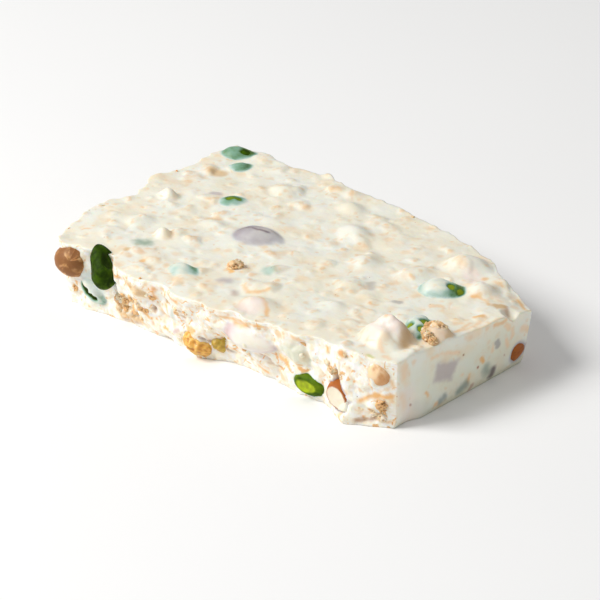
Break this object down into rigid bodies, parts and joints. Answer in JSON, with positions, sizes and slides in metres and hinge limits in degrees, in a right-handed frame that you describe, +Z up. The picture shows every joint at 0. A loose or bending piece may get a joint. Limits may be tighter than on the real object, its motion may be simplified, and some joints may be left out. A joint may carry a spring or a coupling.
{
  "type": "white chocolate bar piece",
  "caption": "Thick broken piece of a poured white chocolate bar with a smooth moulded end, craggy broken sides, and pistachios, hazelnuts, almonds and sultanas set in it.",
  "frame": {"origin": "middle of the base of the bounding box, on the flat base that the piece lies on", "axes": "+X towards the smooth moulded end wall, +Y across the bar, +Z up through its thickness"},
  "size_m": [0.1356, 0.0906, 0.0257],
  "materials": {
    "white_chocolate": "ivory poured chocolate, satin on top, matt and craggy on the breaks, with tan crisp and wafer flakes",
    "pistachio": "bright green kernel, dark skin, bluish where chocolate films it",
    "hazelnut": "roasted cream-tan kernel",
    "almond": "brown wrinkled skin",
    "blanched_almond": "pale skinless kernel, thinly coated",
    "sultana": "amber, wrinkled and slightly translucent"
  },
  "bodies": {
    "root": {"almond_back": "almond", "almond_end": "almond", "almond_front_low": "almond", "almond_front_pale": "blanched_almond", "almond_top": "almond", "hazelnut_back": "hazelnut", "hazelnut_back_far": "hazelnut", "hazelnut_corner": "hazelnut", "hazelnut_left": "hazelnut", "hazelnut_left_front": "hazelnut", "pistachio_back_corner": "pistachio", "pistachio_back_cut": "pistachio", "pistachio_front_cut": "pistachio", "pistachio_front_low": "pistachio", "pistachio_front_upright": "pistachio", "pistachio_left": "pistachio", "pistachio_top_bright": "pistachio", "pistachio_top_by_peak": "pistachio", "pistachio_top_dark": "pistachio", "pistachio_top_far": "pistachio", "pistachio_top_pool": "pistachio", "pistachio_top_wide": "pistachio", "sultana_back": "sultana", "sultana_front_amber": "sultana", "sultana_front_olive": "sultana", "sultana_left": "sultana", "white_chocolate": "white_chocolate"}
  },
  "joints": []
}
